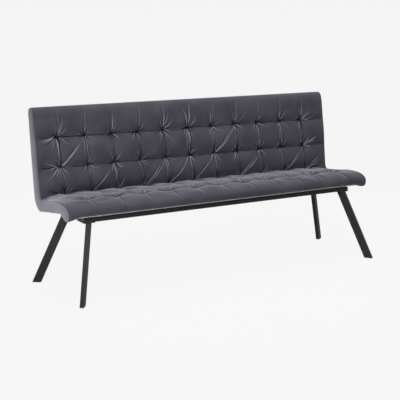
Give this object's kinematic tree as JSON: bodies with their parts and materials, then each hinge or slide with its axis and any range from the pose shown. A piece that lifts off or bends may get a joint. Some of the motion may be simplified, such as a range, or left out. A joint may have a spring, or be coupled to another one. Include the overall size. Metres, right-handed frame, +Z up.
{
  "type": "upholstered bench",
  "caption": "Long upholstered bench with a tufted velvet seat and reclined back on a level steel frame with splayed rectangular legs.",
  "frame": {"origin": "on the floor, under the middle of the bench's length and of its overall depth", "axes": "+X along the bench to the right of someone facing it, +Y to the back, +Z up"},
  "size_m": [1.8592, 0.5847, 0.8913],
  "materials": {
    "velvet": "dark blue grey velvet",
    "black_steel": "matte black powder coat",
    "black_plastic": "matte",
    "zinc_steel": "zinc plated",
    "plywood": "bare plywood",
    "timber": "planed softwood",
    "twine": "waxed twine",
    "lining": "black non-woven lining"
  },
  "bodies": {
    "root": {"back_board": "plywood", "back_pad": "velvet", "centre_cross_rail": "black_steel", "corner_bracket_1": "zinc_steel", "corner_bracket_2": "zinc_steel", "corner_bracket_3": "zinc_steel", "corner_bracket_4": "zinc_steel", "corner_bracket_5": "zinc_steel", "corner_rail": "timber", "foot_cap_front_left": "black_plastic", "foot_cap_front_right": "black_plastic", "foot_cap_rear_left": "black_plastic", "foot_cap_rear_right": "black_plastic", "frame_screws": "zinc_steel", "front_batten": "timber", "front_rail": "black_steel", "left_cross_rail": "black_steel", "left_end_batten": "timber", "left_end_panel": "velvet", "leg_bolts": "zinc_steel", "leg_front_left": "black_steel", "leg_front_right": "black_steel", "leg_plate_front_left": "black_steel", "leg_plate_front_right": "black_steel", "leg_plate_rear_left": "black_steel", "leg_plate_rear_right": "black_steel", "leg_rear_left": "black_steel", "leg_rear_right": "black_steel", "nose_hem": "velvet", "rail_end_plugs": "black_plastic", "rear_batten": "timber", "rear_cover": "velvet", "rear_rail": "black_steel", "right_cross_rail": "black_steel", "right_end_batten": "timber", "right_end_panel": "velvet", "seat_board": "plywood", "seat_pad": "velvet", "tuft_anchors": "zinc_steel", "tuft_ties": "twine", "underside_cover": "lining"}
  },
  "joints": []
}
